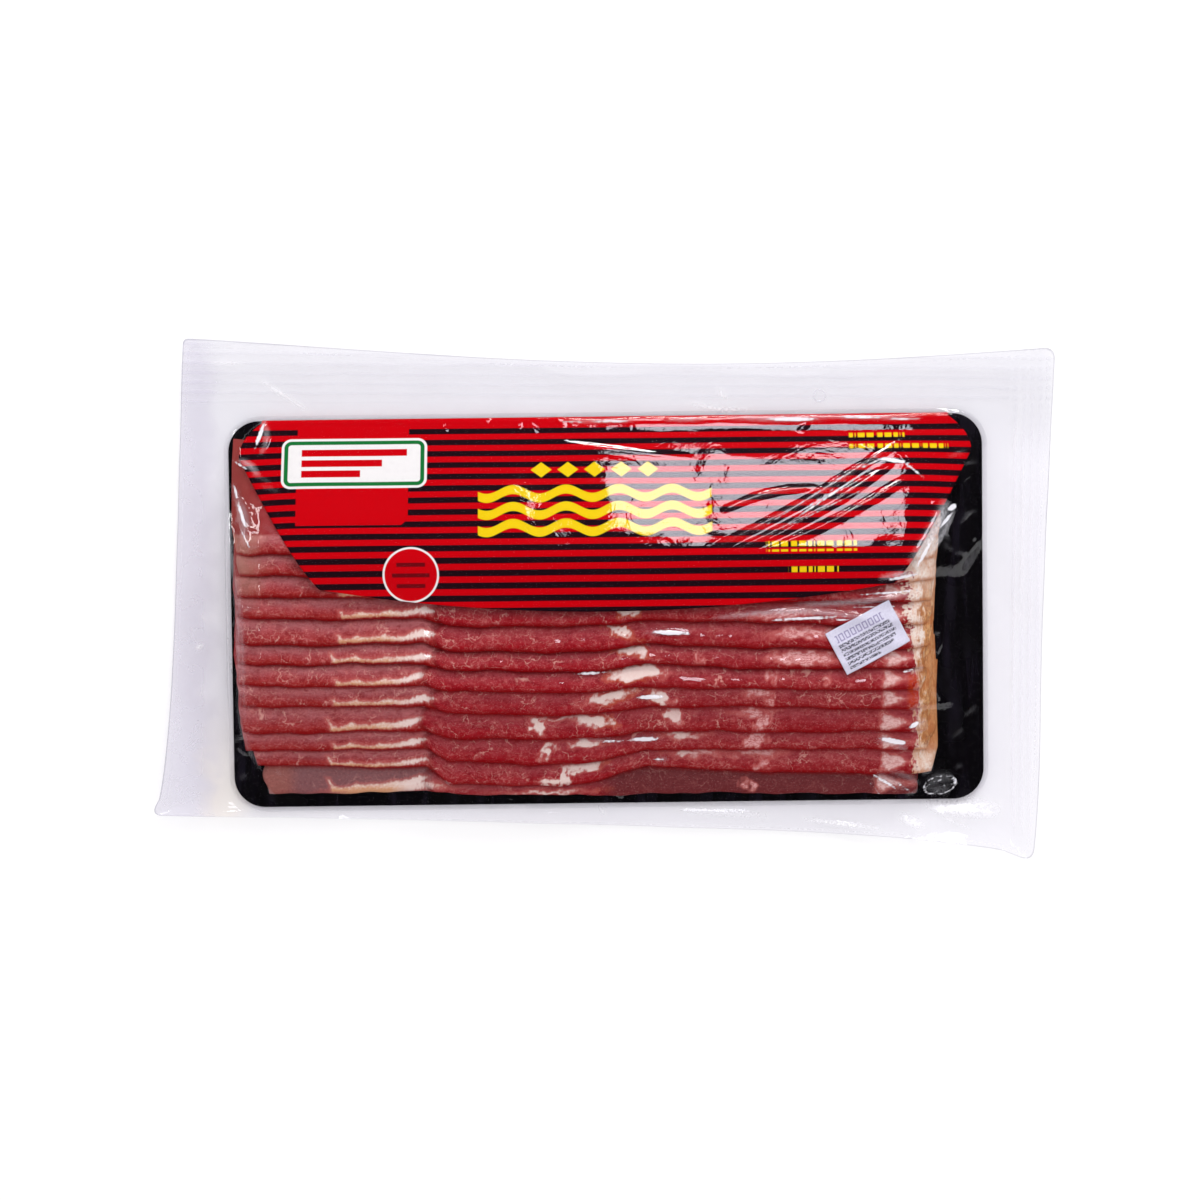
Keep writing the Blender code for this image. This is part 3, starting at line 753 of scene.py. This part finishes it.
def print_colour(across, down):
    """Black stripes on red, a plain panel with a badge, and plain yellow shapes and dashes."""
    soft = 0.12
    phase = ((down - 4.35) / 4.06).fraction()
    stripe = largest(
        abs(phase - middle).ramp(0.25 - soft / 4, 0.25 + soft / 4, 1, 0) for middle in (0.25, 1.25)
    )
    # A plain red panel with cut lower corners.
    cut = (across * -1 - 64.5).minimum(across + 100.5) * 0.9 + 37
    panel = box(across, down, -99.5, -63.5, -5, 38) * (cut - down).ramp(-soft, soft)
    # A badge: a white plate with a green line inside its edge and three red bars.
    badge = rounded_box(across, down, (-81, 16.5), (23.5, 8.8), 3.2)
    bars = largest(
        box(across, down, -98, right, top, top + 2.4)
        for right, top in ((-64, 11.6), (-72, 15.3), (-79, 19))
    )
    # A round mark: a thin white ring with bars.
    from_mark = ((across + 62.5) * (across + 62.5) + (down - 54.5) * (down - 54.5)).root()
    mark_bars = largest(
        box(across, down, -62.5 - half, -62.5 + half, top, top + 1.3)
        for half, top in ((4.6, 50.6), (6, 54), (4.6, 57.4))
    )
    # Yellow: three wavy rashers, a row of lozenges above them, and rows of dashes on the right.
    wave = (across * (2 * math.pi / 17)).sine() * 1.5
    rashers = largest(abs(down - y + wave).ramp(1.45, 1.65, 1, 0) for y in (27.8, 33.6, 39.4))
    rashers = rashers * box(across, down, -41, 34, 21.8, 45.4, 0.2)
    lozenge = abs(((across + 25) / 8.6).fraction() - 0.5) * 6.88 + abs(down - 19.5)
    lozenges = lozenge.ramp(2.6, 2.8, 1, 0) * box(across, down, -25, 18, 15, 24)
    upper_rows = (79, 97, 7.4, 9), (79, 111, 11.4, 13)
    lower_rows = (51, 80, 44.8, 46.6), (51, 80, 47.6, 48.3), (58, 74, 53.2, 55)
    rows = largest(box(across, down, *sides) for sides in upper_rows + lower_rows)
    rows = rows * dashes(across, 2.9, 0.22) * dashes(across, 7.3, 0.08)
    return layered(
        blend(stripe * down.ramp(4.2, 4.4), RED, BLACK),
        (panel, RED),
        (badge.ramp(-soft, soft, 1, 0), WHITE),
        (abs(badge + 1.5).ramp(0.55, 0.75, 1, 0), GREEN),
        (bars, RED),
        (from_mark.ramp(8.6, 8.8, 1, 0), RED),
        (abs(from_mark - 8.7).ramp(0.22, 0.42, 1, 0), WHITE),
        (mark_bars * 0.75, BLACK),
        (largest((rashers, lozenges, rows)), YELLOW),
    )


def make_card():
    material, tree, shader = new_material("printed_card")
    across, down, face = attribute(tree, "across"), attribute(tree, "down"), attribute(tree, "face")
    worn = cloudy(joined(across, down), 0.5, 5, 0.7)
    printed = blend(worn.ramp(0.45, 0.8) * 0.08, print_colour(across, down), (70, 4, 10))
    colour = blend(face.ramp(0.4, 0.6), (196, 190, 184), printed)
    finish(shader, colour, worn.ramp(0.3, 0.8, 0.22, 0.38), 0.01, bumped(worn, 0.02, 0.2))

    straight_to = 22.0  # how far down the card keeps straight rows, before its bowed free edge
    columns = np.sin(np.linspace(-1, 1, 161) * 0.5 * np.pi) * 0.35 + np.linspace(-1, 1, 161) * 0.65
    board_x, board_y = [], []
    for y in np.linspace(CARD_FOLD_Y, straight_to, 60):
        board_x.append(columns * card_half_width(y))
        board_y.append(np.full_like(columns, y))
    free_edge = CARD_CORNER_Y - CARD_BOW * (1 - columns**2)
    for share in np.linspace(0, 1, 36)[1:]:
        board_x.append(columns * card_half_width(straight_to + share * (CARD_CORNER_Y - straight_to)))
        board_y.append(straight_to + share * (free_edge - straight_to))
    board_x, board_y = np.array(board_x), np.array(board_y)
    x, y = on_board(board_x, board_y)
    z = card_height(x, y)
    # The fold turns down over the board's edge.
    for fold_at, level in ((CARD_FOLD_Y + 0.7, BOARD_TOP + 0.2), (CARD_FOLD_Y + 1.0, BOARD_TOP - 0.4)):
        row = np.full_like(columns, fold_at)
        fold_x, fold_y = on_board(board_x[0], row)
        board_x, board_y = np.vstack((board_x[:1], board_x)), np.vstack((row, board_y))
        x, y = np.vstack((fold_x, x)), np.vstack((fold_y, y))
        z = np.vstack((np.full_like(columns, level), z))
    steps = np.hypot(np.diff(board_y, axis=0), np.diff(z, axis=0))
    run = np.vstack((np.zeros(len(columns)), np.cumsum(steps, axis=0)))
    return add_sheet("printed_card", x, y, z - CARD_THICKNESS, z, (board_x, run), material)


# The film


def scattered_creases():
    """Short wrinkles round the stack's ends, where the film has spare length."""
    draw = np.random.default_rng(77)
    lines = []
    for _ in range(46):
        side = draw.choice((-1, 1))
        x = side * draw.uniform(104, 119) + 1.0
        y = draw.uniform(-60, 52)
        end = (x + side * draw.uniform(2, 7), y + draw.uniform(-5, 5))
        lines.append((x, y, *end, 0.45, 0.6, 0.0, draw.choice((0.0, 0.05))))
    for _ in range(26):
        x, y = draw.uniform(-110, 110), draw.choice((-64.5, 57.5))
        lines.append((x, y, x + draw.uniform(-4, 4), y + draw.uniform(-3, 3), 0.4, 0.6, 0.0, 0.0))
    return lines


def crease_fields(x, y, lines):
    """Height of the film's wrinkles in millimetres, and how white their stretched crests are: partly
    stress-whitened film, partly painted highlight.
    """
    height, white = np.zeros(x.shape), np.zeros(x.shape)
    for start_x, start_y, end_x, end_y, rise, half, bow, paleness in lines:
        dx, dy = end_x - start_x, end_y - start_y
        length = math.hypot(dx, dy)
        share = ((x - start_x) * dx + (y - start_y) * dy) / length**2
        arch = np.sin(np.pi * np.clip(share, 0, 1))
        aside = ((y - start_y) * dx - (x - start_x) * dy) / length - bow * arch
        ridge = arch**0.7 * np.exp(-((aside / half) ** 2))
        height += rise * ridge
        white = np.maximum(white, paleness * ridge)
    return height, white


def glints(x, y):
    """Millimetres inside the film's bright stretched spots, painted highlights, or inside the lines of its
    loops.
    """
    inside = np.full(x.shape, -3.0)
    for place_x, place_y, half_length, half_width, turn, *line in FILM_GLINTS + FILM_LOOPS:
        spot = blot(x, y, (place_x, place_y), (half_length, half_width), math.radians(turn))
        inside = np.maximum(inside, line[0] - np.abs(spot) if line else spot)
    return inside


def draped(x, y, contents):
    """Height of the contents' top, or of the board, at each of these points."""
    points, faces = [], []
    for piece in contents:
        count = len(points)
        points += [vertex.co.copy() for vertex in piece.data.vertices]
        faces += [[count + corner for corner in face.vertices] for face in piece.data.polygons]
    tree = BVHTree.FromPolygons(points, faces)
    height = np.full(x.shape, BOARD_TOP)
    for index in np.ndindex(x.shape):
        place = tree.ray_cast(Vector((x[index] * MM, y[index] * MM, 0.1)), Vector((0, 0, -1)), 0.1)[0]
        if place is not None:
            height[index] = place.z / MM
    return height


def tented(height, spacing, slope, reach):
    """Raises a film beside each drop, so that it leaves the edge no steeper than this slope."""
    tent = height.copy()
    for _ in range(round(reach / spacing)):
        padded = np.pad(tent, 1, mode="edge")
        beside = np.maximum(padded[:-2, 1:-1], padded[2:, 1:-1])
        beside = np.maximum(beside, np.maximum(padded[1:-1, :-2], padded[1:-1, 2:]))
        tent = np.maximum(tent, beside - slope * spacing)
    return tent


def eased(height, floor, rounds):
    """Smooths a height field without letting it sink below the floor."""
    for _ in range(rounds):
        padded = np.pad(height, 1, mode="edge")
        mean = (padded[:-2, 1:-1] + padded[2:, 1:-1] + padded[1:-1, :-2] + padded[1:-1, 2:]) / 4
        height = np.maximum(floor, 0.35 * height + 0.65 * mean)
    return height


def film_material(name, haze, sealed, relief_depth):
    """Clear film: it lets most light through, veils what is behind it a little, and shines."""
    material, tree, shader = new_material(name)
    tree.nodes.remove(shader)
    x, y, z = position(tree)
    place = joined(x, y, z)
    waves = cloudy(place, 0.09, 4, 0.6, 0.6)
    crumpled = cloudy(place, 0.8)
    white = attribute(tree, "white") * crumpled.ramp(0.35, 0.6, 0.55, 1)
    veil_share = waves.ramp(0.3, 0.75, haze * 0.94, haze * 1.06)
    if sealed:
        # Ribs of the seals at the right and along the top, and a small round mark above the board.
        out = attribute(tree, "out")  # 0 beside the board and 1 at the bag's outline
        strip = x.ramp(131, 133) * abs(y).ramp(66, 80, 1, 0.35)
        seal = ((x + (waves - 0.5) * 1.2) * 2.4).sine() * strip * 0.35
        upper = y.ramp(62, 66) * 0.3
        seal = seal + ((y + x * 0.006 + (waves - 0.5) * 1.5) * 2).sine() * upper
        from_mark = ((x - 70.5) * (x - 70.5) + (y - 66.5) * (y - 66.5)).root()
        mark = abs(from_mark - 1.9).ramp(0.12, 0.35, 1, 0)
        relief = waves + seal + mark * 0.5
        rim = out.ramp(0.976, 0.99)
        second = abs(out - 0.9).ramp(0.006, 0.016, 1, 0) * crumpled.ramp(0.4, 0.5) * 0.5
        left = (x + (waves - 0.5) * 14).ramp(-132, -122, 1, 0)
        stain = abs(x + 122 + (waves - 0.5) * 20).ramp(2, 13, 1, 0) * y.ramp(-70, -25, 1, 0)
        veil_colour = layered(
            blend(y.ramp(40, 64), (238, 236, 248), (206, 205, 217)),
            (left * 0.8, (194, 188, 210)),
            (stain * 0.6, (232, 206, 160)),
            (rim, (150, 148, 166)),
            # The white creases of the margin: partly stress-whitened film, partly painted highlight.
            (white, (255, 255, 255)),
        )
        lines = rim * 0.16 + second * 0.16 + mark * 0.16 + seal.ramp(0.1, 0.3) * 0.1
        veil_share = (veil_share + left * 0.14 + lines).maximum(white)
    else:
        relief, veil_colour = waves, (244, 243, 250)
        # Painted highlights: the glints, the lines of the loops and the white creases lay a near-white veil
        # over the clear film.
        ragged = attribute(tree, "glint") + (crumpled - 0.5) * 0.8
        veil_share = largest((veil_share, white, ragged.ramp(-0.06, 0.22) * 0.86))
    normal = bumped(relief, relief_depth, 0.5)
    clear = new_node(tree, "BsdfTransparent", {})
    clear.inputs["Color"].default_value = (0.975, 0.97, 0.98, 1.0)
    veil = new_node(tree, "BsdfDiffuse", {"Color": veil_colour, "Normal": normal})
    shine = new_node(tree, "BsdfGlossy", {"Roughness": 0.045, "Normal": normal})
    angle = new_node(tree, "LayerWeight", {"Blend": 0.5, "Normal": normal})
    mirrored = Field(angle, "Facing").maths("POWER", 5.0) * 0.6 + (0.04 if sealed else 0.07)
    body = new_node(tree, "MixShader", {0: veil_share, 1: Field(clear), 2: Field(veil)})
    whole = new_node(tree, "MixShader", {0: mirrored, 1: Field(body), 2: Field(shine)})
    feed(tree.nodes["Material Output"], {"Surface": Field(whole)})
    return material


def make_film_skin(contents):
    """The upper web: it clings to the contents, bridges their folds and comes down round the board."""
    half_x, half_y = BOARD_SIZE[0] / 2 + RIM_CLEARANCE, BOARD_SIZE[1] / 2 + RIM_CLEARANCE
    radius = BOARD_CORNER + RIM_CLEARANCE
    up = np.linspace(-1, 1, 229) * half_y
    over = np.clip(np.abs(up) - (half_y - radius), 0, radius)
    half_row = half_x - (radius - np.sqrt(radius**2 - over**2))
    board_x = half_row[:, None] * np.linspace(-1, 1, 401)[None, :]
    board_y = np.broadcast_to(up[:, None], board_x.shape)
    x, y = on_board(board_x, board_y)
    edge_distance = np.minimum(half_row[:, None] - np.abs(board_x), half_y - np.abs(board_y))
    near = np.clip(edge_distance / RIM_CLEARANCE, 0, 1)
    low = WEB + 0.25  # where the film meets the lower web
    floor = low + (draped(x, y, contents) + 0.12 - low) * near
    # It comes down in a slope past the slices' ends.
    slope = np.interp(x, (-106.0, -98.0, 98.0, 106.0), (0.6, 0.75, 0.75, 0.8))
    height = eased(tented(floor, up[1] - up[0], slope, 20.0), floor, 22)
    height = low + (height - low) * near**0.5
    # Its ripples are flatter over the middle of the card's right half.
    calm = 1 - 0.75 * np.exp(-(((x - 34.0) / 13.0) ** 2) - ((y - 42.0) / 10.0) ** 2)
    ripple = 0.012 * lumps(x, y, 3.2, 91) + 0.03 * lumps(x, y, 6.5, 93)
    ripple = ripple + 0.15 * calm * lumps(x, y, 14.0, 92)
    wrinkles, white = crease_fields(x, y, (*FILM_CREASES, *scattered_creases()))
    height = height + near * (wrinkles * 0.8 + np.maximum(ripple + 0.25, 0))
    top = STACK_TOP + CARD_CLEARANCE + CARD_THICKNESS + 0.45
    height = np.minimum(height, top + 0.1 * np.tanh(height - top))
    rows = np.stack((x, y, height), axis=-1)
    material = film_material("clear_film_skin", 0.001, False, 0.25)
    attributes = {"white": white, "glint": glints(x, y)}
    return add_piece("film_skin", rows, material, attributes)


def bowed_side(start, end, bow, deepest):
    start, end = np.array(start), np.array(end)
    along = end - start
    inwards = np.array((along[1], -along[0])) / np.linalg.norm(along)
    points = []
    for i in range(SIDE_STEPS + 1):
        share = i / SIDE_STEPS
        skewed = share ** (math.log(0.5) / math.log(deepest))
        points.append(start + along * share + inwards * bow * math.sin(math.pi * skewed))
    return points


def corner_arc(before, corner, after, radius):
    corner = np.array(corner)
    first = corner + radius * (before - corner) / np.linalg.norm(before - corner)
    last = corner + radius * (after - corner) / np.linalg.norm(after - corner)
    shares = [i / CORNER_STEPS for i in range(CORNER_STEPS + 1)]
    return [(1 - s) ** 2 * first + 2 * s * (1 - s) * corner + s**2 * last for s in shares]


def bag_outline():
    sides = [bowed_side(BAG_CORNERS[a][0], BAG_CORNERS[b][0], *bend) for a, b, *bend in BAG_SIDES]
    outline = []
    for i, side in enumerate(sides):
        corner, radius, _ = BAG_CORNERS[BAG_SIDES[i][0]]
        outline += corner_arc(sides[i - 1][-CORNER_SKIP - 1], corner, side[CORNER_SKIP], radius)
        outline += side[CORNER_SKIP:-CORNER_SKIP]
    return np.array(outline)


def rim_points(points):
    """The nearest points to these on a line just outside the board."""
    local = np.stack(off_board(points[:, 0], points[:, 1]), axis=-1)
    straight = np.array(BOARD_SIZE) / 2 - BOARD_CORNER
    centre = np.clip(local, -straight, straight)
    away = local - centre
    away /= np.linalg.norm(away, axis=1)[:, None]
    rim = centre + away * (BOARD_CORNER + RIM_CLEARANCE)
    return np.stack(on_board(rim[:, 0], rim[:, 1]), axis=-1)


def make_bag():
    """The lower web under the board, and the flat sealed margin round it."""
    outline = bag_outline()
    rim = rim_points(outline)
    rows = [np.column_stack((rim * share, np.full(len(rim), 0.05))) for share in (0.001, 0.5, 0.9, 0.98)]
    out = [np.zeros(len(rim))] * len(rows)
    for step in range(MARGIN_STEPS + 1):
        share = step / MARGIN_STEPS
        points = (1 - share) * rim + share * outline
        curl = sum(
            lift * np.exp(-((np.hypot(*(points - place).T) / CURL_REACH) ** 2))
            for place, _, lift in BAG_CORNERS.values()
        )
        angle = np.arctan2(points[:, 1], points[:, 0])
        ripple = 0.5 * (1 + np.sin(9 * angle))
        small = 0.35 * (1 + lumps(points[:, 0], points[:, 1], 11.0, 61))
        z = WEB / 2 + share**1.5 * (curl + ripple) + min(1.0, share * 3) * small
        rows.append(np.column_stack((points, z)))
        out.append(np.full(len(rim), share))
    rows, out = np.array(rows)[::-1], np.array(out)[::-1]
    wrinkles, white = crease_fields(rows[:, :, 0], rows[:, :, 1], MARGIN_CREASES)
    rows[:, :, 2] += wrinkles * np.minimum(1.0, out * 4)
    material = film_material("clear_film", 0.22, True, 0.5)
    attributes = {"out": out, "white": white}
    return add_piece("bag", rows, material, attributes, wraps=True, replaces="bag")


# The date sticker


def make_sticker(film):
    material, tree, shader = new_material("white_paper")
    u, v = attribute(tree, "across"), attribute(tree, "down")
    paper = cloudy(joined(u, v), 1.5, 5, 0.7)
    # A row of small open boxes, then rows of broken marks.
    beside = abs((u / 2.1 + 50).fraction() - 0.5) * 2.1 - 0.62
    upright = abs(v - 4.1) - 1.05
    open_box = abs(beside.maximum(upright)).ramp(0.12, 0.24, 1, 0) * box(u, v, -9.4, 7.4, 2.5, 5.7)
    strokes = cloudy(joined(u * 1.6, v), 1.7, 1, 0.4)
    levels = (1.6, 0.1, -1.5, -3.0, -4.5, -6.0)
    rights = (8.6, 9.0, 9.4, 8.4, 7.0, 1.5)
    halves = (0.55, 0.55, 0.5, 0.5, 0.5, 0.45)
    marks = largest(
        box(u, v, -9.6, right, level - half, level + half)
        for level, right, half in zip(levels, rights, halves)
    )
    colour = layered(
        blend(paper.ramp(0.3, 0.75), (196, 193, 212), (212, 209, 227)),
        (open_box * 0.75, (112, 100, 150)),
        (marks * strokes.ramp(0.42, 0.52) * 0.95, (40, 36, 58)),
    )
    finish(shader, colour, 0.55, 0.5, bumped(paper, 0.04, 0.4))

    width, depth, thickness = STICKER_SIZE
    u, v = np.meshgrid(np.linspace(-1, 1, 47) * width / 2, np.linspace(-1, 1, 31) * depth / 2)
    x, y = turned(u, v, STICKER_TURN)
    x, y = x + STICKER_CENTRE[0], y + STICKER_CENTRE[1]
    film_top = draped(x, y, [film])
    z = eased(film_top, film_top, 25) + 0.06
    return add_sheet("date_sticker", x, y, z, z + thickness * 0.6, (u, v), material)


# The studio


def add_softbox(name, place, target, width, depth, radiance, colour=(1.0, 1.0, 1.0)):
    light = bpy.data.lights.new(name, "AREA")
    light.color = colour
    light.shape = "RECTANGLE"
    light.size = width
    light.size_y = depth
    light.energy = radiance * math.pi * width * depth
    holder = placed(name, light)
    holder.location = place
    holder.rotation_euler = (Vector(target) - Vector(place)).to_track_quat("-Z", "Y").to_euler()


def make_studio():
    scene = bpy.context.scene
    scene.view_settings.view_transform = "Standard"
    mesh = bpy.data.meshes.new("floor")
    reach = 3.0
    low = -0.0003
    corners = [(-reach, -reach, low), (reach, -reach, low), (reach, reach, low), (-reach, reach, low)]
    mesh.from_pydata(corners, [], [(0, 1, 2, 3)])
    floor_material, _, shader = new_material("floor")
    shader.inputs["Base Color"].default_value = (0.93, 0.93, 0.93, 1.0)
    shader.inputs["Roughness"].default_value = 0.9
    shader.inputs["Specular IOR Level"].default_value = 0.0
    mesh.materials.append(floor_material)
    floor = placed("floor", mesh)

    # An even light from all sides, without reflections of its own.
    world = bpy.data.worlds.new("studio")
    scene.world = world
    world.use_nodes = True
    background = world.node_tree.nodes["Background"]
    background.inputs["Color"].default_value = (1.0, 0.99, 1.0, 1.0)
    background.inputs["Strength"].default_value = 1.0
    world.cycles_visibility.glossy = False

    add_softbox("window", (0.115, 0.745, 0.745), (0.03, 0.03, 0.0), 0.20, 0.25, 8.0, (0.90, 0.90, 1.0))
    add_softbox("strip", (0.25, 0.95, 0.40), (0.0, 0.0, 0.0), 0.6, 0.08, 26.0)
    add_softbox("left_strip", (-0.9, 0.6, 0.45), (0.0, 0.0, 0.0), 0.08, 0.3, 9.0)


def make_camera():
    tilt = math.radians(3.0)
    distance = 0.925
    camera = bpy.data.cameras.new("camera")
    camera.lens = 85.0
    camera.sensor_width = 36.0
    holder = placed("camera", camera)
    holder.location = (-0.0008, distance * math.sin(tilt), distance * math.cos(tilt))
    holder.rotation_euler = (-tilt, 0.0, 0.0)
    bpy.context.scene.camera = holder


def main():
    slices = make_slices()
    board = make_board()
    card = make_card()
    skin = make_film_skin([*slices, board, card])
    make_bag()
    make_sticker(skin)
    make_studio()
    make_camera()


main()
